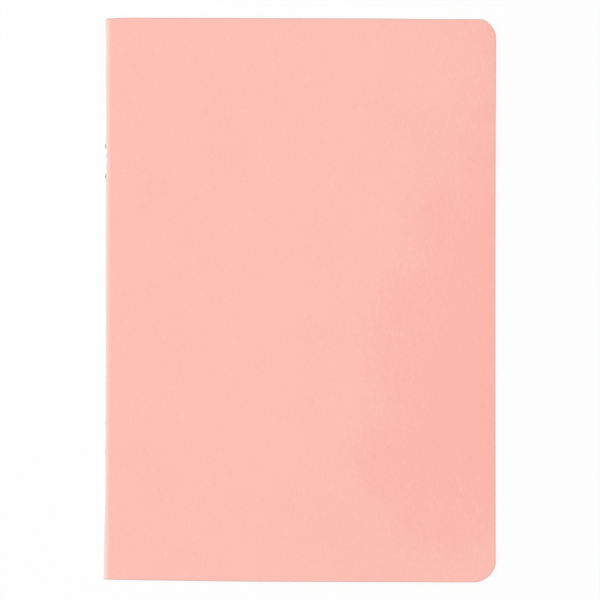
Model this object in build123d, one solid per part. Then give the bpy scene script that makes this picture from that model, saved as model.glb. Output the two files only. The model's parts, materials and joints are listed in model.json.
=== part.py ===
from build123d import *
import os
from math import atan, cos, degrees, radians, sin

# A stapled exercise book, closed and lying on its back cover. A card cover and a set of paper sheets are
# folded together round one axis and held by two wire staples through the fold. X runs from the spine to the
# fore edge, Y from the tail to the head, and Z up through the book.

# Book, trimmed size in millimetres
book_height = 210.0  # tail to head
book_width = 146.0  # outer face of the spine to the fore edge
corner_radius = 8.5  # die that rounds the two fore-edge corners
die_past_head = 0.55  # the die sits this far past the head, so its arc meets the head at a slight angle
die_past_fore_edge = 0.15  # and this far past the fore edge

# Paper and card
sheet_count = 16  # folded sheets, two leaves each
paper_thickness = 0.10
sheet_gap = 0.01  # air between neighbouring sheets
card_thickness = 0.30

# Staples, bent from round wire
wire_diameter = 0.50
staple_width = 13.0  # crown, outside to outside
staple_inset = 53.3  # middle of a staple to the head or the tail
staple_seat = 0.15  # depth that the crown is pressed into the spine
bend_inside = 0.15  # radius on the inner side of the bends that turn the two ends over
clinch_gap = 4.30  # between the two turned-over ends, in the middle of the book
pierce_clearance = 0.03  # round the wire, where it goes through paper and card
fold_clearance = 0.04  # between the clinched wire and the innermost fold
leaf_clearance = 0.07  # between the wire and the edge where a leaf starts to turn

# Radii about the fold axis, on which the clinched wire lies
wire_radius = wire_diameter / 2
inner_radius = wire_radius + fold_clearance
sheet_pitch = paper_thickness + sheet_gap
cover_radius = inner_radius + sheet_count * sheet_pitch
spine_radius = cover_radius + card_thickness

# Places along X, measured from the fold axis
leaf_start = wire_radius + leaf_clearance
fore_edge = book_width - spine_radius
crown_centre = -(spine_radius + wire_radius - staple_seat)
crown_face = crown_centre - wire_radius

# Places along Y
staple_middle = book_height / 2 - staple_inset
leg_offset = staple_width / 2 - wire_radius  # middle of a staple to the centre line of a leg
bend_radius = wire_radius + bend_inside  # centre line of the wire
pierce_radius = wire_radius + pierce_clearance

# The covers lie flat. The leaves fan in towards the middle of the book, where the wire holds them apart only
# at the fold, so that at the fore edge they share out the space evenly
fore_edge_pitch = (cover_radius - paper_thickness - 1.5 * sheet_gap) / (sheet_count - 1)

# The finished book stands on Z = 0, centred on its overall width and height
fold_axis_place = Location((-(fore_edge + crown_face) / 2, 0, spine_radius))


def tipped(x, z, tip):
    """A point of a front half, turned about the fold axis towards the middle of the book."""
    turn = radians(tip)
    return (x * cos(turn) + z * sin(turn), z * cos(turn) - x * sin(turn))


def mirrored(point):
    """The point of the back half that matches one of the front half."""
    x, z = point
    return (x, -z)


def fold_strip(inside, thickness, tip=0.0):
    """The bent strip between a front and a back half: a half ring with a short straight lip at each end."""
    outside = inside + thickness
    lip_inside = tipped(leaf_start, inside, tip)
    lip_outside = tipped(leaf_start, outside, tip)
    bend_start = tipped(0, inside, tip)
    bend_end = tipped(0, outside, tip)
    outline = [
        Line(mirrored(lip_inside), mirrored(lip_outside)),
        Line(mirrored(lip_outside), mirrored(bend_end)),
        ThreePointArc(mirrored(bend_end), (-outside, 0), bend_end),
        Line(bend_end, lip_outside),
        Line(lip_outside, lip_inside),
        Line(lip_inside, bend_start),
        ThreePointArc(bend_start, (-inside, 0), mirrored(bend_start)),
        Line(mirrored(bend_start), mirrored(lip_inside)),
    ]
    strip = extrude(Plane.XZ * make_face(outline), book_height / 2, both=True)
    for slit in leg_slits:
        strip -= slit
    return strip


def pierced(middle, side):
    """The slit that one leg of a staple opens through the fold, long enough for the bend at the leg's end."""
    inner_end = leg_offset - bend_radius - pierce_clearance
    outer_end = leg_offset + pierce_radius
    opening = outer_end - inner_end
    blade = Box(2 * spine_radius, opening, 2 * pierce_radius, align=(Align.MAX, Align.CENTER, Align.CENTER))
    return Pos(0, middle + side * (inner_end + outer_end) / 2, 0) * blade


def crown_groove(middle):
    """The hollow that a staple's crown presses into the spine."""
    wire = Cylinder(pierce_radius, staple_width + 2 * pierce_clearance)
    return Pos(crown_centre, middle, 0) * Rot(90, 0, 0) * wire


def trimming_die():
    """The plan outline that the guillotine and the corner die cut through the whole folded book."""
    length = fore_edge - leaf_start
    guillotine = Pos(leaf_start, 0) * Rectangle(length, book_height, align=(Align.MIN, Align.CENTER))
    die_blank = Pos(leaf_start, -book_height / 2) * Rectangle(
        length + die_past_fore_edge, book_height + die_past_head, align=(Align.MIN, Align.MIN)
    )
    fore_corners = die_blank.vertices().group_by(Axis.X)[-1]
    outline = guillotine & fillet(fore_corners, corner_radius)
    return extrude(outline, 2 * spine_radius, both=True)


def front_half(inside, thickness, tip=0.0):
    """A flat leaf or cover panel above the fold axis, tipped towards the middle of the book and trimmed."""
    blank = Box(book_width, book_height, thickness, align=(Align.MIN, Align.CENTER, Align.MIN))
    return Rot(0, tip, 0) * Pos(leaf_start, 0, inside) * blank & trim


def back_half(inside, thickness, tip=0.0):
    return mirror(front_half(inside, thickness, tip), about=Plane.XY)


def staple(middle):
    """Round wire along a staple's centre line: a square-cornered crown, two legs and two ends bent over."""
    path = FilletPolyline(
        (0, middle - clinch_gap / 2),
        (0, middle - leg_offset),
        (crown_centre, middle - leg_offset),
        (crown_centre, middle + leg_offset),
        (0, middle + leg_offset),
        (0, middle + clinch_gap / 2),
        radius=[bend_radius, 0, 0, bend_radius],
    )
    section = Plane(origin=path @ 0, z_dir=path % 0) * Circle(wire_radius)
    return sweep(section, path=path, transition=Transition.RIGHT)


def save(name, solid):
    export_step(fold_axis_place * solid, f"parts/{name}.step")


os.makedirs("parts", exist_ok=True)
staple_places = {"upper": staple_middle, "lower": -staple_middle}
leg_slits = [pierced(middle, side) for middle in staple_places.values() for side in (-1, 1)]
trim = trimming_die()

spine = fold_strip(cover_radius, card_thickness)
for middle in staple_places.values():
    spine -= crown_groove(middle)
save("front_cover", front_half(cover_radius, card_thickness))
save("cover_spine", spine)
save("back_cover", back_half(cover_radius, card_thickness))

for number in range(1, sheet_count + 1):
    steps_in = sheet_count - number
    inside = inner_radius + steps_in * sheet_pitch
    inside_at_fore_edge = sheet_gap / 2 + steps_in * fore_edge_pitch
    tip = degrees(atan((inside - inside_at_fore_edge) / fore_edge))
    save(f"sheet_{number:02d}_front_leaf", front_half(inside, paper_thickness, tip))
    save(f"sheet_{number:02d}_fold", fold_strip(inside, paper_thickness, tip))
    save(f"sheet_{number:02d}_back_leaf", back_half(inside, paper_thickness, tip))

for place, middle in staple_places.items():
    save(f"staple_{place}", staple(middle))
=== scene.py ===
"""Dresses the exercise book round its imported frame: dyed card, ruled sheets, wire staples and a table."""
import json
from math import pi, radians

import bpy
import numpy as np
from bpy.props import FloatProperty, FloatVectorProperty, PointerProperty
from bpy.types import Operator, Panel, PropertyGroup
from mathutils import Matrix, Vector


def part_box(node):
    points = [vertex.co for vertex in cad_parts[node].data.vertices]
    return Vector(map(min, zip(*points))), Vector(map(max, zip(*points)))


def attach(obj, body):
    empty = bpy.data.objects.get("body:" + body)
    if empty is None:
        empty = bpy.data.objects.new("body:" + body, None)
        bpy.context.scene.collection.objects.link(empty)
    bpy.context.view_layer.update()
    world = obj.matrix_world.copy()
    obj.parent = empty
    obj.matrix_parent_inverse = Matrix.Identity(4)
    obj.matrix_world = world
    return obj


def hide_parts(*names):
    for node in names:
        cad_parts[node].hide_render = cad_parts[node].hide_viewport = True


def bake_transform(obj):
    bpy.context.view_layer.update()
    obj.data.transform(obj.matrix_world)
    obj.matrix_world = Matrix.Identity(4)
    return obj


bl_info = {
    "name": "Stapled exercise book",
    "version": (1, 0, 0),
    "blender": (4, 5, 0),
    "location": "View3D > Sidebar > Exercise book",
    "description": "Makes the cover, sheets and staples of an exercise book, and a table, lamp and camera",
    "category": "Object",
}

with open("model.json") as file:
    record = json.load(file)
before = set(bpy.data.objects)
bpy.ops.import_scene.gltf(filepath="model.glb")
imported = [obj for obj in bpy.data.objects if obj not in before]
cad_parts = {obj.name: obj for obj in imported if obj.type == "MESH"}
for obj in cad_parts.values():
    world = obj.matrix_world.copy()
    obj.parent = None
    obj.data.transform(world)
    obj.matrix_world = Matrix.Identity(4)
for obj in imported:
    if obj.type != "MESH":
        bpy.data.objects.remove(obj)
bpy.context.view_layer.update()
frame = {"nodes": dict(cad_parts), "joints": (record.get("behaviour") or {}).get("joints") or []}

MM = 0.001

# Sizes that the frame gives. Distances along X and Z are measured from the fold axis
FOLD_AXIS = next(joint["pos_m"] for joint in frame["joints"] if joint["name"] == "cover_open")
PANEL_LOW, PANEL_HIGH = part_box("front_cover")
SPINE_LOW, SPINE_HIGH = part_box("cover_spine")
SPINE_RADIUS = (SPINE_HIGH.z - SPINE_LOW.z) / 2
CARD_THICKNESS = PANEL_HIGH.z - PANEL_LOW.z
PANEL_START = PANEL_LOW.x - FOLD_AXIS[0]
FORE_EDGE = PANEL_HIGH.x - FOLD_AXIS[0]
HALF_HEIGHT = PANEL_HIGH.y
SHEETS = [name.removesuffix("_fold") for name in sorted(frame["nodes"]) if name.endswith("_fold")]
STAPLES = ("staple_upper", "staple_lower")
STAPLE_BOXES = {name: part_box(name) for name in STAPLES}
STAPLE_PLACES = [(low.y + high.y) / 2 for low, high in STAPLE_BOXES.values()]
STAPLE_HALF_WIDTH = (STAPLE_BOXES["staple_upper"][1].y - STAPLE_BOXES["staple_upper"][0].y) / 2

# The corner die, as it sat over the trimmed book
CORNER_RADIUS = 8.5 * MM
DIE_PAST_HEAD = 0.70 * MM
DIE_PAST_FORE_EDGE = 0.15 * MM
CORNER_CENTRE = FORE_EDGE + DIE_PAST_FORE_EDGE - CORNER_RADIUS

# The guillotine's cuts, which aren't quite square
TAIL_RISE = 0.58 * MM  # the tail climbs this much towards the spine
TAIL_RISE_LENGTH = 62 * MM
FOLD_DRAW = 0.25 * MM  # the fold draws in this much at the head
FOLD_DRAW_LENGTH = 8 * MM
HEAD_FALL = 0.18 * MM  # the head falls this much towards its corner
HEAD_FALL_START = 100 * MM
HEAD_FALL_LENGTH = 22 * MM
HEAD_SHORT = 0.57 * MM  # the fore edge is cut this much short at the head
WIDENING = 0.9  # it makes up this share of that by the tail
WIDENING_START = 0.3  # and starts to at this share of the height, from the head

# Shape of the spine along the book, at heights from its middle
HOLLOW_TOP = 28 * MM
HOLLOW_TOP_LENGTH = 60 * MM
HOLLOW_BOTTOM = -88 * MM
HOLLOW_BOTTOM_LENGTH = 14 * MM
GROOVE_END_LENGTH = 1.6 * MM  # a staple's groove is at its full depth this far from its ends
GROOVE_HALF_ANGLE = 0.286
GROOVE_FADE_ANGLE = 0.22
HEAD_FLARE_START = 66 * MM
HEAD_FLARE_LENGTH = 20 * MM
HEAD_TIP_START = 97 * MM  # half of the head's flare comes in its last stretch
HEAD_TIP_LENGTH = 8 * MM
TAIL_FLARE_START = -75 * MM
TAIL_FLARE_LENGTH = 26 * MM
# Paler towards the spine's middle line: partly fold wear, partly a painted grazing sheen
FOLD_WEAR_AND_SHEEN_POWER = 1.7  # of the cosine of the angle from the spine's middle line

# Where the card's colour starts to deepen and where it is full, from the middle of the book
DEEP_ACROSS = (18 * MM, 60 * MM)
DEEP_SLANT = 0.18  # the start moves this share of the height towards the fore edge
DEEP_FROM_HEAD = (95 * MM, 10 * MM)
DEEP_FROM_TAIL = (-110 * MM, -65 * MM)
DEEP_AT_HEAD = 0.5  # share of the deepening that is left at each end
DEEP_AT_TAIL = 0.15

# The paper
PAPER_BEVEL = 1 / 8  # rounding of the cut edges, as a share of the thickness
PAPER_SPRING = 0.6  # flare of a fold next to the card, as a share of the card's own

# The staples' wire
WIRE_SIDES = 20
BOW_START = 0.7 * MM  # a crown is drawn in from this far past its corners
BOW_LENGTH = 3.0 * MM
# Reach of the painted dark reflection near the crown's corners
DARK_REFLECTION_REACH = 3.3 * MM  # from the corners of the crown

# The stage
TABLE_REACH = 6.0
TABLE_GLOW = 0.82  # share of plain white in what the camera sees of the table
LAMP_PLACE = (-0.35, 0.15, 1.82)
LAMP_SIZE = 1.2
CAMERA_SHIFT = -0.13 * MM

SHARP_ANGLE = radians(28)


def linear(red, green, blue):
    """A colour as shaders take it, from its 0 to 255 values on a screen."""
    screen = np.array((red, green, blue)) / 255
    return tuple(np.where(screen <= 0.04045, screen / 12.92, ((screen + 0.055) / 1.055) ** 2.4))


def colour_property(name, description, default):
    return FloatVectorProperty(
        name=name, description=description, default=default, subtype="COLOR", size=3, min=0, max=1
    )


def length_property(name, description, default):
    return FloatProperty(
        name=name, description=description, default=default, subtype="DISTANCE", unit="LENGTH", precision=5
    )


class CoverSettings(PropertyGroup):
    """The folded card."""

    card_colour: colour_property("Card", "Colour of the dyed card", linear(254, 191, 180))
    deep_colour: colour_property("Deep card", "Colour towards the fore edge", linear(254, 182, 170))
    # Fold wear and a painted grazing sheen along the spine, and the pale stray hairs
    worn_and_sheen_colour: colour_property("Worn fold", "Colour of the opened fibres", linear(253, 241, 236))
    # A darker, greyer tone for the cut edges and the band along them
    edge_colour: colour_property("Cut edge", "Colour of the crushed edge", linear(222, 182, 174))
    edge_round: length_property("Edge rounding", "Width of the crushed edge", 0.10 * MM)
    edge_darkening_width: length_property("Edge wear", "Width of the rubbed band along the cut edges", 0.7 * MM)
    upper_dent: length_property("Upper dent", "Depth that the upper staple pulls into the spine", 0.18 * MM)
    lower_dent: length_property("Lower dent", "Depth that the lower staple pulls into the spine", 0.04 * MM)
    staple_groove: length_property("Staple groove", "Further depth right under a staple's crown", 0.33 * MM)
    spine_hollow: length_property("Spine hollow", "Depth of the long hollow in the lower half", 0.16 * MM)
    head_flare: length_property("Head flare", "How far the spine springs out at the head", 0.33 * MM)
    tail_flare: length_property("Tail flare", "How far the spine springs out at the tail", 0.345 * MM)


class PaperSettings(PropertyGroup):
    """The folded sheets."""

    paper_colour: colour_property("Paper", "Colour of the uncoated paper", linear(246, 243, 235))
    shade_colour: colour_property("Paper shade", "Colour of the darker fibres", linear(233, 228, 216))
    edge_colour: colour_property("Cut edge", "Colour of the cut edges", linear(251, 249, 243))
    line_colour: colour_property("Ruling", "Colour of the feint ruling", linear(178, 196, 214))
    thickness: length_property("Thickness", "Thickness of a sheet", 0.10 * MM)
    settling_length: length_property("Settling length", "How far from the fold leaves lie level", 40 * MM)
    line_pitch: length_property("Line pitch", "Distance between ruled lines", 8 * MM)
    line_width: length_property("Line width", "Width of a ruled line", 0.25 * MM)
    head_margin: length_property("Head margin", "Unruled height at the head", 19 * MM)
    tail_margin: length_property("Tail margin", "Unruled height at the tail", 12 * MM)


class StapleSettings(PropertyGroup):
    """The wire staples."""

    wire_colour: colour_property("Wire", "Colour of the bright wire", linear(232, 233, 235))
    # Colour of the patchy film, and of the painted dark reflection near the crown's corners
    film_and_dark_reflection_colour: colour_property("Dull wire", "Colour where the bends dulled it", linear(120, 120, 122))
    upper_bow: length_property("Upper bow", "Depth that the upper crown's middle is drawn in", 0.34 * MM)
    lower_bow: length_property("Lower bow", "Depth that the lower crown's middle is drawn in", 0.10 * MM)
    lower_seat: length_property("Lower seat", "Further depth of the whole lower crown", 0.45 * MM)
    crown_corner: length_property("Crown corner", "Radius of the crown's corners", 0.34 * MM)
    clinch_bend: length_property("Clinch bend", "Radius of the bend that turns an end over", 0.40 * MM)
    clinch_gap: length_property("Clinch gap", "Gap between the two turned-over ends", 4.3 * MM)
    end_slant: length_property("End slant", "How far a cut end slants across the wire", 0.30 * MM)


class StageSettings(PropertyGroup):
    """The table, the light and the camera."""

    floor_colour: colour_property("Table", "Colour of the table", linear(250, 250, 250))
    sky_strength: FloatProperty(name="Sky", description="Strength of the even light", default=0.56, min=0)
    key_power: FloatProperty(
        name="Key light", description="Power of the large soft lamp", default=16.6, min=0, unit="POWER"
    )
    lens: FloatProperty(name="Lens", description="Focal length in millimetres", default=100, min=1)
    view_width: length_property("View width", "Width of the view at the front cover", 223.5 * MM)
    roll: FloatProperty(
        name="Roll", description="Turn about the line of sight", default=radians(0.18), subtype="ANGLE"
    )


class BookSettings(PropertyGroup):
    """All settings of the book and its stage."""

    cover: PointerProperty(type=CoverSettings)
    paper: PointerProperty(type=PaperSettings)
    staples: PointerProperty(type=StapleSettings)
    stage: PointerProperty(type=StageSettings)


def smooth(t):
    """A step: 0 up to t = 0, 1 from t = 1 on, and the cubic 3 t squared minus 2 t cubed between."""
    t = np.clip(t, 0.0, 1.0)
    return t * t * (3 - 2 * t)


def trimmed_limits(x, inset):
    """Tail and head of the trimmed outline at distances x, moved in by an inset. Each runs straight and then
    follows the die's circle, where the height is the square root of radius squared minus distance squared."""
    past_centre = np.clip(x - CORNER_CENTRE, 0.0, None)
    arc = np.sqrt(np.clip((CORNER_RADIUS - inset) ** 2 - past_centre**2, 0.0, None))
    head = np.minimum(HALF_HEIGHT - inset, HALF_HEIGHT + DIE_PAST_HEAD - CORNER_RADIUS + arc)
    return CORNER_RADIUS - HALF_HEIGHT - arc, head


def panel_places(inset, flat_columns, corner_columns):
    """Distances of a flat half's columns: spread by the power 1.6 as far as the corner, at equal angles round
    it, and the last at the fore edge."""
    reach = np.arcsin((FORE_EDGE - inset - CORNER_CENTRE) / CORNER_RADIUS)
    spread = np.linspace(0.0, 1.0, flat_columns)[:-1] ** 1.6
    flat = PANEL_START + (CORNER_CENTRE - PANEL_START) * spread
    corner = CORNER_CENTRE + CORNER_RADIUS * np.sin(np.linspace(0.0, reach, corner_columns))
    return np.concatenate([flat, corner, [FORE_EDGE]])


def heights(count, near_staples, near_ends):
    """Rows from -1 at the tail to 1 at the head: even ones, and closer ones where the spine is dented by a
    staple or flares in the last 8 millimetres."""
    reach = 1.2 * STAPLE_HALF_WIDTH
    near = np.linspace(-reach, reach, near_staples)
    staple_rows = np.add.outer(STAPLE_PLACES, near).ravel() / HALF_HEIGHT
    end_rows = 1 - 8 * MM * np.linspace(0.0, 1.0, near_ends) ** 2 / HALF_HEIGHT
    rows = np.concatenate([np.linspace(-1, 1, count), staple_rows, end_rows, -end_rows])
    return np.unique(rows.round(5))


def spine_press(y, turn, cover):
    """Depth that the fold is pushed in at heights y and angles from the spine's middle line. It is a hollow,
    plus a long dent and a narrow groove at each staple, less a flare at each end. All are smooth steps along
    the height, and all fade with the squared cosine of the angle."""
    from_top = smooth((HOLLOW_TOP - y) / HOLLOW_TOP_LENGTH)
    from_bottom = smooth((y - HOLLOW_BOTTOM) / HOLLOW_BOTTOM_LENGTH)
    hollow = cover.spine_hollow * from_top * from_bottom
    within = [STAPLE_HALF_WIDTH - np.abs(y - place) for place in STAPLE_PLACES]
    dents = zip((cover.upper_dent, cover.lower_dent), within)
    dent = sum(depth * smooth(reach / STAPLE_HALF_WIDTH) for depth, reach in dents)
    groove = cover.staple_groove * sum(smooth(reach / GROOVE_END_LENGTH) for reach in within)
    groove = groove * smooth((GROOVE_HALF_ANGLE - np.abs(turn)) / GROOVE_FADE_ANGLE)
    to_head = smooth((y - HEAD_FLARE_START) / HEAD_FLARE_LENGTH)
    to_tip = smooth((y - HEAD_TIP_START) / HEAD_TIP_LENGTH)
    head_flare = cover.head_flare * (to_head + to_tip) / 2
    tail_flare = cover.tail_flare * smooth((TAIL_FLARE_START - y) / TAIL_FLARE_LENGTH)
    return (hollow + dent + groove - head_flare - tail_flare) * np.cos(turn) ** 2


def edge_distance(x, y):
    """Distance of untrimmed points from the nearest cut edge: the least of those from the head, the tail, the
    fore edge and a corner's circle."""
    straight = np.minimum(HALF_HEIGHT - np.abs(y), FORE_EDGE - x)
    past_centre = np.clip(x - CORNER_CENTRE, 0.0, None)
    past_straight = np.clip(np.maximum(y - DIE_PAST_HEAD, -y) - HALF_HEIGHT + CORNER_RADIUS, 0.0, None)
    return np.minimum(straight, CORNER_RADIUS - np.hypot(past_centre, past_straight))


def hand_trimmed(points):
    """The same points after cuts that aren't quite square. The tail climbs to the spine by the power 1.5. The
    head falls at the fold by a square law, and towards its corner by a smooth step. The fore edge runs
    straight for the upper third, and then widens by the power 1.5."""
    x, y, z = np.moveaxis(points, -1, 0)
    to_tail = (HALF_HEIGHT - y) / (2 * HALF_HEIGHT)
    climb = TAIL_RISE * np.clip(1 - x / TAIL_RISE_LENGTH, 0.0, 1.0) ** 1.5
    draw = FOLD_DRAW * np.clip(1 - x / FOLD_DRAW_LENGTH, 0.0, 1.0) ** 2
    fall = HEAD_FALL * smooth((x - HEAD_FALL_START) / HEAD_FALL_LENGTH)
    widening = WIDENING * np.clip((to_tail - WIDENING_START) / (1 - WIDENING_START), 0.0, 1.0) ** 1.5
    narrowing = HEAD_SHORT * (1 - widening) * np.clip(x, 0.0, None) / FORE_EDGE
    trimmed_y = y + climb * to_tail - (draw + fall) * (1 - to_tail) ** 4
    return np.stack([x - narrowing, trimmed_y, z], axis=-1)


def outward(points, faces):
    """The faces turned so that they enclose a positive volume, summed over two tetrahedra to each face."""
    a, b, c, d = np.moveaxis(points[faces] - points.mean(axis=0), 1, 0)
    volume = np.einsum("ij,ij->", a, np.cross(b, c)) + np.einsum("ij,ij->", a, np.cross(c, d))
    return faces if volume > 0 else faces[:, ::-1]


def carried_sheet(path, inward, rows, thickness, bevel, closed_ends, press):
    """A sheet carried along a path in the XZ plane, as a grid of closed loops. At each column of the path the
    loop runs up the outer face from tail to head, over the head's cut edge, down the inner face and over the
    tail's cut edge. Depth is measured along the inward normals. A column at a cut end has its loop squeezed
    by the bevel. Returns the points, the faces, 1 for each face on a cut edge, and each point's distance
    from the nearest cut edge."""
    x, z = path
    count = len(rows)
    face_tail, face_head = trimmed_limits(x, bevel)
    rim_tail, rim_head = trimmed_limits(x, 0.0)
    face_y = face_tail + (rows[:, None] + 1) / 2 * (face_head - face_tail)
    y = np.vstack([face_y, rim_head, rim_head, face_y[::-1], rim_tail, rim_tail])
    rim = [bevel, thickness - bevel]
    depth = np.concatenate([np.zeros(count), rim, np.full(count, thickness), rim[::-1]])[:, None]
    squeeze = np.ones(len(x))
    squeeze[[0, -1]] = np.where(closed_ends, 1 - 2 * bevel / thickness, 1.0)
    pushed = thickness / 2 + (depth - thickness / 2) * squeeze + press(y)
    untrimmed = np.stack([x + inward[0] * pushed, y, z + inward[1] * pushed], axis=-1)
    points = (hand_trimmed(untrimmed) + FOLD_AXIS).reshape(-1, 3)

    loop, columns = y.shape
    index = np.arange(loop * columns).reshape(loop, columns)
    after = np.roll(index, -1, axis=0)
    sides = np.stack([index[:, :-1], after[:, :-1], after[:, 1:], index[:, 1:]], axis=-1)
    side_edges = np.zeros(sides.shape[:2])
    side_edges[[count - 1, count, count + 1, -3, -2, -1]] = 1
    side_edges[:, 0] = np.maximum(side_edges[:, 0], closed_ends[0])
    side_edges[:, -1] = np.maximum(side_edges[:, -1], closed_ends[1])
    outer = index[:count]
    inner = index[count + 2 : 2 * count + 2][::-1]
    caps = []
    for column, turn in ((0, 1), (-1, -1)):
        ends = outer[:, column], inner[:, column]
        strip = np.stack([ends[0][:-1], ends[1][:-1], ends[1][1:], ends[0][1:]], axis=-1)
        head_end = index[count - 1 : count + 3, column][None, ::-1]
        tail_end = np.append(index[2 * count + 1 :, column], index[0, column])[None, ::-1]
        caps.append(np.concatenate([strip, head_end, tail_end])[:, ::turn])
    faces = np.concatenate([sides.reshape(-1, 4), *caps])
    edges = np.concatenate([side_edges.ravel(), np.ones(len(faces) - side_edges.size)])
    distance = edge_distance(np.broadcast_to(x, y.shape), y).ravel()
    return points, outward(points, faces), edges, distance


def folded_path(radius, flat, columns):
    """Outer face of a folded sheet: in along the back half, round the fold, out along the front. Round the
    fold an even step s from -1 to 1 gives a quarter turn times 0.55 s plus 0.45 s cubed, so columns are
    closest at the spine's middle line. Returns the path, its inward normals and its angles from that line."""
    step = np.linspace(-1.0, 1.0, columns)
    quarter = np.full(len(flat), pi / 2)
    turn = np.concatenate([-quarter, (pi / 2 * (0.55 * step + 0.45 * step**3))[1:-1], quarter])
    along = np.concatenate([flat[::-1], np.zeros(columns - 2), flat])
    path = (along - radius * np.cos(turn), radius * np.sin(turn))
    return path, (np.cos(turn), -np.sin(turn)), turn


def quarter_turn(centre, radius, start, columns=10):
    """Points of a quarter circle in the XY plane, anticlockwise from an angle."""
    angle = start + np.linspace(0.0, pi / 2, columns)
    return np.stack([centre[0] + radius * np.cos(angle), centre[1] + radius * np.sin(angle)], axis=-1)


def wire_surface(low, high, seat, bow, staples):
    """A round wire: a circle carried along the staple's centre line, which is the crown, a small corner, the
    leg, a bend and the turned-over end, mirrored about the staple's middle. The crown is drawn in by a smooth
    step from its corners to its middle, and the cut ends slant. Returns the points, the faces, the UV and how
    much a painted dark reflection near the crown's corners darkens each point."""
    radius = (high.z - low.z) / 2
    crown = low.x + radius + seat
    clinch = high.x - radius
    leg = (high.y - low.y) / 2 - radius
    corner = staples.crown_corner
    bend = staples.clinch_bend
    crown_y = np.linspace(0.0, leg - corner, 24)[:-1]
    crown_x = crown + bow * smooth((leg - corner - BOW_START - crown_y) / BOW_LENGTH)
    end_y = np.linspace(leg - bend, staples.clinch_gap / 2, 5)[1:]
    half = np.concatenate([
        np.stack([crown_x, crown_y], axis=-1),
        quarter_turn((crown + corner, leg - corner), corner, pi / 2)[::-1],
        quarter_turn((clinch - bend, leg - bend), bend, 0.0)[::-1],
        np.stack([np.full(len(end_y), clinch), end_y], axis=-1),
    ])
    line = np.concatenate([half[:0:-1] * (1, -1), half])
    ahead = np.gradient(line, axis=0)
    ahead /= np.linalg.norm(ahead, axis=1, keepdims=True)
    across = np.stack([-ahead[:, 1], ahead[:, 0]], axis=-1)
    angle = np.linspace(0.0, 2 * pi, WIRE_SIDES, endpoint=False)
    slant = np.zeros(len(line))
    slant[0] = staples.end_slant / 2
    slant[-1] = -staples.end_slant / 2
    plan = line[:, None] + radius * np.cos(angle)[:, None] * across[:, None]
    plan = plan + (slant[:, None] * np.cos(angle))[..., None] * ahead[:, None]
    middle = np.array([0.0, (low.y + high.y) / 2, (low.z + high.z) / 2])
    lift = np.broadcast_to(radius * np.sin(angle), plan.shape[:2])
    points = (np.concatenate([plan, lift[..., None]], axis=-1) + middle).reshape(-1, 3)

    index = np.arange(len(points)).reshape(-1, WIRE_SIDES)
    after = np.roll(index, -1, axis=1)
    tube = np.stack([index[:-1], after[:-1], after[1:], index[1:]], axis=-1).reshape(-1, 4)
    step = np.arange(WIRE_SIDES // 2 - 1)
    caps = []
    for ring, turn in ((index[0], 1), (index[-1], -1)):
        cap = np.stack([ring[step], ring[step + 1], ring[-step - 2], ring[-step - 1]], axis=-1)
        caps.append(cap[:, ::turn])
    run = np.concatenate([[0.0], np.cumsum(np.linalg.norm(np.diff(line, axis=0), axis=1))])
    uv = np.stack(np.broadcast_arrays(run[:, None], radius * angle), axis=-1).reshape(-1, 2)
    from_corner = np.hypot(line[:, 0] - crown, np.abs(line[:, 1]) - leg)
    # Painted dark reflection near the crown's corners
    bends = np.repeat(smooth(1 - from_corner / DARK_REFLECTION_REACH), WIRE_SIDES)
    return points, outward(points, np.concatenate([tube, *caps])), uv, bends


def new_piece(name, points, faces, material, face_marks=None, point_marks=None, uv=None):
    """A mesh object from arrays. Points keep their place at rest, so that patterns stay put when it bends."""
    mesh = bpy.data.meshes.new(name)
    mesh.from_pydata(points.tolist(), [], faces.tolist())
    place = mesh.attributes.new("rest_place", "FLOAT_VECTOR", "POINT")
    place.data.foreach_set("vector", points.astype(np.float32).ravel())
    for domain, marks in (("FACE", face_marks), ("POINT", point_marks)):
        for mark, values in (marks or {}).items():
            layer = mesh.attributes.new(mark, "FLOAT", domain)
            layer.data.foreach_set("value", values.astype(np.float32))
    if uv is not None:
        corners = np.zeros(len(mesh.loops), np.int32)
        mesh.loops.foreach_get("vertex_index", corners)
        mesh.uv_layers.new(name="page").data.foreach_set("uv", uv[corners].astype(np.float32).ravel())
    mesh.polygons.foreach_set("use_smooth", np.ones(len(mesh.polygons), bool))
    mesh.set_sharp_from_angle(angle=SHARP_ANGLE)
    mesh.materials.append(material)
    piece = bpy.data.objects.new(name, mesh)
    bpy.context.scene.collection.objects.link(piece)
    return piece


def node(tree, kind, inputs=None, **settings):
    """Adds a shader node. An input is a value, or the output of another node."""
    made = tree.nodes.new(kind)
    for name, value in settings.items():
        setattr(made, name, value)
    for name, value in (inputs or {}).items():
        socket = made.inputs[name]
        if isinstance(value, bpy.types.NodeSocket):
            tree.links.new(value, socket)
        else:
            socket.default_value = value
    return made


def attribute(tree, name, output="Fac"):
    """What a mesh attribute says at each place."""
    return node(tree, "ShaderNodeAttribute", attribute_name=name).outputs[output]


def noise(tree, place, scale, detail=2.0, stretch=(1, 1, 1), turn=0.0):
    """Noise with so many waves to a metre, turned about the vertical and then stretched along the axes."""
    if turn:
        place = node(tree, "ShaderNodeVectorRotate", {"Vector": place, "Angle": turn}).outputs["Vector"]
    if stretch != (1, 1, 1):
        place = node(tree, "ShaderNodeMapping", {"Vector": place, "Scale": stretch}).outputs["Vector"]
    made = node(tree, "ShaderNodeTexNoise", {"Vector": place, "Scale": scale, "Detail": detail})
    return made.outputs["Fac"]


def ranged(tree, value, low, high, new_low=0.0, new_high=1.0, step="SMOOTHSTEP"):
    """A value carried from one range to another."""
    ends = {"Value": value, "From Min": low, "From Max": high, "To Min": new_low, "To Max": new_high}
    return node(tree, "ShaderNodeMapRange", ends, interpolation_type=step).outputs["Result"]


def combined(tree, operation, first, second=0.0):
    """Two numbers joined by one operation."""
    return node(tree, "ShaderNodeMath", {0: first, 1: second}, operation=operation).outputs["Value"]


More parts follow.
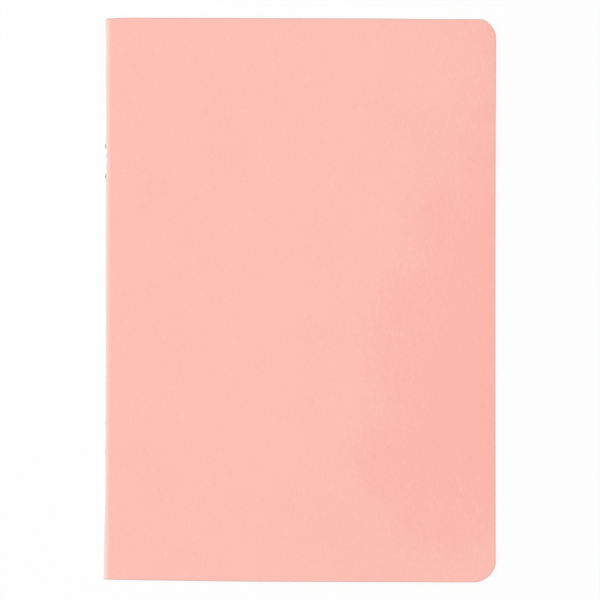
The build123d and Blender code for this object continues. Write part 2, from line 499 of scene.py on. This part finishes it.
def mixed(tree, factor, first, second):
    """One colour over another. A colour is a setting or the output of another node. The sockets go by number,
    because this node has several with the same name."""
    colours = [
        value if isinstance(value, bpy.types.NodeSocket) else (*value, 1.0) for value in (first, second)
    ]
    made = node(tree, "ShaderNodeMix", {0: factor, 6: colours[0], 7: colours[1]}, data_type="RGBA")
    return made.outputs[2]


def embossed(tree, shader, height, strength, distance):
    """Gives a shader a fine relief."""
    bump = node(tree, "ShaderNodeBump", {"Height": height, "Strength": strength, "Distance": distance})
    tree.links.new(bump.outputs["Normal"], shader.inputs["Normal"])


def seen_rays(tree):
    """1 for rays that show a surface to the camera, straight or in a reflection or through glass."""
    rays = node(tree, "ShaderNodeLightPath").outputs
    seen = combined(tree, "MAXIMUM", rays["Is Camera Ray"], rays["Is Glossy Ray"])
    return combined(tree, "MAXIMUM", seen, rays["Is Transmission Ray"])


def new_material(name):
    """A material with only its shader and output, that material's tree and the shader."""
    material = bpy.data.materials.new(name)
    material.use_nodes = True
    return material, material.node_tree, material.node_tree.nodes["Principled BSDF"]


def deepening(tree, place):
    """How much deeper the card's colour is: more towards the fore edge, and less at the head and the tail."""
    axes = node(tree, "ShaderNodeSeparateXYZ", {"Vector": place}).outputs
    slant = combined(tree, "MULTIPLY", axes["Y"], DEEP_SLANT)
    across = ranged(tree, combined(tree, "SUBTRACT", axes["X"], slant), *DEEP_ACROSS)
    from_head = ranged(tree, axes["Y"], *DEEP_FROM_HEAD, new_low=DEEP_AT_HEAD)
    from_tail = ranged(tree, axes["Y"], *DEEP_FROM_TAIL, new_low=DEEP_AT_TAIL)
    return combined(tree, "MULTIPLY", combined(tree, "MULTIPLY", across, from_head), from_tail)


def card_material(cover):
    """Matt dyed card: fine fibres along the grain, stray hairs, a faint mottle, a paler spine that is partly
    fold wear and partly a painted grazing sheen, and a darker, greyer band along the cut edges.
    """
    material, tree, shader = new_material("dyed_card")
    place = attribute(tree, "rest_place", "Vector")
    fibres = noise(tree, place, scale=2400, detail=4.0, stretch=(1.0, 0.3, 1.0))
    hair = {"scale": 2600, "detail": 1.0, "stretch": (1.0, 0.12, 1.0)}
    one_way = noise(tree, place, turn=radians(24), **hair)
    hairs = combined(tree, "MAXIMUM", one_way, noise(tree, place, turn=radians(-31), **hair))
    mottle = noise(tree, place, scale=45, detail=6.0)
    mottle_tone = ranged(tree, mottle, 0.3, 0.7, -0.3, 0.3, step="LINEAR")
    fibre_tone = ranged(tree, fibres, 0.3, 0.7, -0.45, 0.45, step="LINEAR")
    tone = combined(tree, "ADD", deepening(tree, place), mottle_tone)
    tone = combined(tree, "ADD", tone, fibre_tone)
    colour = mixed(tree, tone, cover.card_colour, cover.deep_colour)
    colour = mixed(tree, ranged(tree, hairs, 0.66, 0.76, 0.0, 0.16), colour, cover.worn_and_sheen_colour)
    # Paler towards the spine's middle line: fold wear and a painted grazing sheen
    fold_fibres = ranged(tree, fibres, 0.2, 0.75, 0.75, 1.15, step="LINEAR")
    worn_and_sheen = combined(tree, "MULTIPLY", attribute(tree, "fold_wear_and_sheen"), fold_fibres)
    colour = mixed(tree, worn_and_sheen, colour, cover.worn_and_sheen_colour)
    # A darker, greyer band along the cut edges, and the same tone on the cut edges themselves
    edge_fibres = ranged(tree, fibres, 0.2, 0.75, 0.6, 1.0, step="LINEAR")
    darkened = combined(tree, "MULTIPLY", attribute(tree, "edge_darkening"), edge_fibres)
    colour = mixed(tree, darkened, colour, cover.edge_colour)
    colour = mixed(tree, attribute(tree, "cut_edge"), colour, cover.edge_colour)
    tree.links.new(colour, shader.inputs["Base Color"])
    roughness = ranged(tree, fibres, 0.2, 0.8, 0.66, 0.8, step="LINEAR")
    tree.links.new(roughness, shader.inputs["Roughness"])
    shader.inputs["Specular IOR Level"].default_value = 0.3
    relief = combined(tree, "ADD", fibres, combined(tree, "MULTIPLY", hairs, 0.7))
    embossed(tree, shader, relief, strength=0.5, distance=0.03 * MM)
    return material


def ruling(tree, height, paper):
    """How much of a ruled line there is at a height: lines at one pitch, from the head margin down to the
    tail margin, and none on the cut edges."""
    half_pitch = paper.line_pitch / 2
    top = HALF_HEIGHT - paper.head_margin
    below_top = combined(tree, "SUBTRACT", top, height)
    within = combined(tree, "MODULO", combined(tree, "ADD", below_top, half_pitch), paper.line_pitch)
    off_line = combined(tree, "ABSOLUTE", combined(tree, "SUBTRACT", within, half_pitch))
    line = ranged(tree, off_line, paper.line_width * 0.65, paper.line_width * 0.35)
    below_head = combined(tree, "GREATER_THAN", top + half_pitch, height)
    above_tail = combined(tree, "GREATER_THAN", height, paper.tail_margin - HALF_HEIGHT)
    ruled = combined(tree, "MULTIPLY", below_head, above_tail)
    off_edges = combined(tree, "SUBTRACT", 1.0, attribute(tree, "cut_edge"))
    return combined(tree, "MULTIPLY", line, combined(tree, "MULTIPLY", ruled, off_edges))


def paper_material(paper):
    """Uncoated paper: soft fibres, feint ruling across the page, and cut edges that differ between sheets."""
    material, tree, shader = new_material("writing_paper")
    place = attribute(tree, "rest_place", "Vector")
    page = node(tree, "ShaderNodeUVMap", uv_map="page").outputs["UV"]
    height = node(tree, "ShaderNodeSeparateXYZ", {"Vector": page}).outputs["Y"]
    fibres = noise(tree, place, scale=1800, detail=4.0)
    cockle = noise(tree, place, scale=60)
    fibre_tone = ranged(tree, fibres, 0.35, 0.8, 0.0, 0.5, step="LINEAR")
    colour = mixed(tree, fibre_tone, paper.paper_colour, paper.shade_colour)
    colour = mixed(tree, ruling(tree, height, paper), colour, paper.line_colour)
    layers = noise(tree, place, scale=90, stretch=(1.0, 1.0, 110.0))
    edge = mixed(tree, ranged(tree, layers, 0.35, 0.7, 0.0, 0.8), paper.edge_colour, paper.shade_colour)
    colour = mixed(tree, attribute(tree, "cut_edge"), colour, edge)
    tree.links.new(colour, shader.inputs["Base Color"])
    roughness = ranged(tree, fibres, 0.2, 0.8, 0.78, 0.9, step="LINEAR")
    tree.links.new(roughness, shader.inputs["Roughness"])
    shader.inputs["Specular IOR Level"].default_value = 0.25
    relief = combined(tree, "ADD", fibres, combined(tree, "MULTIPLY", cockle, 2.0))
    embossed(tree, shader, relief, strength=0.2, distance=0.02 * MM)
    return material


def wire_material(staples):
    """Bright drawn wire: fine draw marks along it, a patchy film of duller metal, and a painted dark
    reflection near the crown's corners.
    """
    material, tree, shader = new_material("bright_wire")
    page = node(tree, "ShaderNodeUVMap", uv_map="page").outputs["UV"]
    place = attribute(tree, "rest_place", "Vector")
    marks = noise(tree, page, scale=9000, stretch=(0.02, 1.0, 1.0))
    film = noise(tree, place, scale=900, detail=3.0)
    film_tone = ranged(tree, film, 0.45, 0.75, 0.0, 0.3)
    # The patchy film, and the painted dark reflection near the crown's corners
    film_and_dark_reflection = combined(tree, "MAXIMUM", film_tone, attribute(tree, "corner_dark_reflection"))
    tree.links.new(mixed(tree, film_and_dark_reflection, staples.wire_colour, staples.film_and_dark_reflection_colour), shader.inputs["Base Color"])
    roughness = ranged(tree, film, 0.3, 0.7, 0.2, 0.36, step="LINEAR")
    tree.links.new(roughness, shader.inputs["Roughness"])
    shader.inputs["Metallic"].default_value = 1.0
    embossed(tree, shader, marks, strength=0.3, distance=0.01 * MM)
    return material


class BOOK_OT_cover(Operator):
    """Make the folded card cover"""

    bl_idname = "exercise_book.make_cover"
    bl_label = "Make cover"

    def execute(self, context):
        cover = context.scene.exercise_book.cover
        flat = panel_places(cover.edge_round, flat_columns=26, corner_columns=18)
        path, inward, turn = folded_path(SPINE_RADIUS, flat, columns=57)
        rows = heights(71, near_staples=41, near_ends=17)

        def press(y):
            return spine_press(y, turn, cover)

        points, faces, edges, distance = carried_sheet(
            path, inward, rows, CARD_THICKNESS, cover.edge_round, (True, True), press
        )
        outer = np.zeros(2 * len(rows) + 4)
        outer[: len(rows)] = 1
        marks = {
            # Paler towards the spine's middle line on the outer face: fold wear and a painted grazing sheen
            "fold_wear_and_sheen": np.outer(outer, np.cos(turn) ** FOLD_WEAR_AND_SHEEN_POWER).ravel(),
            # Darker, greyer band along the cut edges
            "edge_darkening": smooth(1 - distance / cover.edge_darkening_width),
        }
        piece = new_piece(
            "cover", points, faces, card_material(cover),
            face_marks={"cut_edge": edges}, point_marks=marks,
        )
        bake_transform(piece)
        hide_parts("front_cover", "cover_spine", "back_cover")
        return {"FINISHED"}


class BOOK_OT_sheets(Operator):
    """Make the folded sheets, each as two leaves and the fold between them"""

    bl_idname = "exercise_book.make_sheets"
    bl_label = "Make sheets"

    def execute(self, context):
        book = context.scene.exercise_book
        material = paper_material(book.paper)
        for place, sheet in enumerate(SHEETS):
            for side, up in (("front", 1), ("back", -1)):
                self.make_leaf(sheet, side, up, book.paper, material)
            nearness = 1 - place / (len(SHEETS) - 1)
            self.make_fold(sheet, nearness, book.paper, material, book.cover)
        return {"FINISHED"}

    def make_leaf(self, sheet, side, up, paper, material):
        """A leaf that settles from the height of its fold to that of its fore edge by a square law, and then
            runs level."""
        name = f"{sheet}_{side}_leaf"
        low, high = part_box(name)
        from_axis = (abs(low.z - FOLD_AXIS[2]), abs(high.z - FOLD_AXIS[2]))
        at_fold = max(from_axis)
        at_fore_edge = min(from_axis) + paper.thickness
        bevel = paper.thickness * PAPER_BEVEL
        x = panel_places(bevel, flat_columns=30, corner_columns=12)
        unsettled = np.clip(1 - (x - PANEL_START) / paper.settling_length, 0.0, 1.0) ** 2
        z = up * (at_fore_edge + (at_fold - at_fore_edge) * unsettled)
        inward = (np.zeros(len(x)), np.full(len(x), -up))
        rows = np.linspace(-1, 1, 9)
        points, faces, edges, _ = carried_sheet(
            (x, z), inward, rows, paper.thickness, bevel, (False, True), np.zeros_like
        )
        marks = {"cut_edge": edges}
        piece = new_piece(
            name + "_paper", points, faces, material, face_marks=marks, uv=points[:, :2]
        )
        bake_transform(piece)
        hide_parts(name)

    def make_fold(self, sheet, nearness, paper, material, cover):
        """The bent strip between two leaves. The nearer it is to the cover, the more it takes of the spine's
        shape, and it springs out less than the card does."""
        name = f"{sheet}_fold"
        low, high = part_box(name)
        radius = (high.z - low.z) / 2
        path, inward, turn = folded_path(radius, np.array([0.0, PANEL_START]), columns=31)
        rows = heights(41, near_staples=17, near_ends=5)
        bevel = paper.thickness * PAPER_BEVEL

        def press(y):
            depth = spine_press(y, turn, cover)
            return np.maximum(depth, PAPER_SPRING * depth) * nearness

        points, faces, edges, _ = carried_sheet(
            path, inward, rows, paper.thickness, bevel, (False, False), press
        )
        marks = {"cut_edge": edges}
        piece = new_piece(
            name + "_paper", points, faces, material, face_marks=marks, uv=points[:, :2]
        )
        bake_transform(piece)
        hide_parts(name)


class BOOK_OT_staples(Operator):
    """Make the two wire staples"""

    bl_idname = "exercise_book.make_staples"
    bl_label = "Make staples"

    def execute(self, context):
        staples = context.scene.exercise_book.staples
        material = wire_material(staples)
        settings = ((0.0, staples.upper_bow), (staples.lower_seat, staples.lower_bow))
        for name, (seat, bow) in zip(STAPLES, settings):
            points, faces, uv, bends = wire_surface(*STAPLE_BOXES[name], seat, bow, staples)
            # Painted dark reflection near the crown's corners
            marks = {"corner_dark_reflection": bends}
            piece = new_piece(
                name + "_wire", points, faces, material, point_marks=marks, uv=uv
            )
            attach(piece, "binding")
            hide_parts(name)
        return {"FINISHED"}


class BOOK_OT_stage(Operator):
    """Set the table, the light and the camera"""

    bl_idname = "exercise_book.set_stage"
    bl_label = "Set stage"

    def execute(self, context):
        stage = context.scene.exercise_book.stage
        self.make_table(context.scene, stage)
        self.light_sky(context.scene, stage)
        self.hang_lamp(context.scene, stage)
        self.place_camera(context.scene, stage)
        context.scene.view_settings.view_transform = "Standard"
        return {"FINISHED"}

    def make_table(self, scene, stage):
        """A wide flat table. To the camera it is mostly plain white, and the rest shows the book's shadow."""
        span = np.linspace(-TABLE_REACH, TABLE_REACH, 2)
        x, y = np.meshgrid(span, span)
        points = np.stack([x, y, np.zeros_like(x)], axis=-1).reshape(-1, 3)
        mesh = bpy.data.meshes.new("table")
        mesh.from_pydata(points.tolist(), [], [(0, 1, 3, 2)])
        material, tree, shader = new_material("table_top")
        place = node(tree, "ShaderNodeTexCoord").outputs["Object"]
        grain = noise(tree, place, scale=400)
        shade = tuple(0.985 * channel for channel in stage.floor_colour)
        tree.links.new(mixed(tree, grain, stage.floor_colour, shade), shader.inputs["Base Color"])
        shader.inputs["Roughness"].default_value = 0.9
        shader.inputs["Specular IOR Level"].default_value = 0.0
        glow = node(tree, "ShaderNodeEmission", {"Strength": 1.0}).outputs["Emission"]
        share = combined(tree, "MULTIPLY", seen_rays(tree), TABLE_GLOW)
        surface = node(tree, "ShaderNodeMixShader", {0: share, 1: shader.outputs["BSDF"], 2: glow})
        tree.links.new(surface.outputs["Shader"], tree.nodes["Material Output"].inputs["Surface"])
        mesh.materials.append(material)
        table = bpy.data.objects.new("table", mesh)
        scene.collection.objects.link(table)

    def light_sky(self, scene, stage):
        """Even light from all round, and plain white where the camera sees past the table."""
        world = bpy.data.worlds.new("studio")
        world.use_nodes = True
        tree = world.node_tree
        strength = ranged(tree, seen_rays(tree), 0.0, 1.0, stage.sky_strength, 1.0, step="LINEAR")
        background = tree.nodes["Background"].inputs
        background["Color"].default_value = (1.0, 1.0, 1.0, 1.0)
        tree.links.new(strength, background["Strength"])
        scene.world = world

    def hang_lamp(self, scene, stage):
        """One large soft lamp, high on the spine's side."""
        lamp = bpy.data.lights.new("key", "AREA")
        lamp.shape = "RECTANGLE"
        lamp.size = LAMP_SIZE
        lamp.size_y = LAMP_SIZE
        lamp.energy = stage.key_power
        holder = bpy.data.objects.new("key", lamp)
        holder.location = LAMP_PLACE
        holder.rotation_euler = (-holder.location).to_track_quat("-Z", "Y").to_euler()
        scene.collection.objects.link(holder)

    def place_camera(self, scene, stage):
        """Straight above the book, with a slight roll."""
        camera = bpy.data.cameras.new("camera")
        camera.lens = stage.lens
        holder = bpy.data.objects.new("camera", camera)
        distance = stage.view_width * stage.lens / camera.sensor_width
        holder.location = Vector((CAMERA_SHIFT, 0.0, PANEL_HIGH.z + distance))
        holder.rotation_euler = (0.0, 0.0, stage.roll)
        scene.collection.objects.link(holder)
        scene.camera = holder


class BOOK_PT_panel(Panel):
    """Lists the book's settings and the steps that make it"""

    bl_idname = "BOOK_PT_panel"
    bl_label = "Exercise book"
    bl_space_type = "VIEW_3D"
    bl_region_type = "UI"
    bl_category = "Exercise book"

    def draw(self, context):
        book = context.scene.exercise_book
        for group, operator in zip((book.cover, book.paper, book.staples, book.stage), STEPS):
            box = self.layout.box()
            for name in group.__annotations__:
                box.prop(group, name)
            box.operator(operator.bl_idname)


STEPS = (BOOK_OT_cover, BOOK_OT_sheets, BOOK_OT_staples, BOOK_OT_stage)
CLASSES = (CoverSettings, PaperSettings, StapleSettings, StageSettings, BookSettings, *STEPS, BOOK_PT_panel)


def register():
    for made in CLASSES:
        bpy.utils.register_class(made)
    bpy.types.Scene.exercise_book = PointerProperty(type=BookSettings)


def unregister():
    del bpy.types.Scene.exercise_book
    for made in reversed(CLASSES):
        bpy.utils.unregister_class(made)


def main():
    register()
    bpy.ops.exercise_book.make_cover()
    bpy.ops.exercise_book.make_sheets()
    bpy.ops.exercise_book.make_staples()
    bpy.ops.exercise_book.set_stage()


if __name__ == "__main__":
    main()
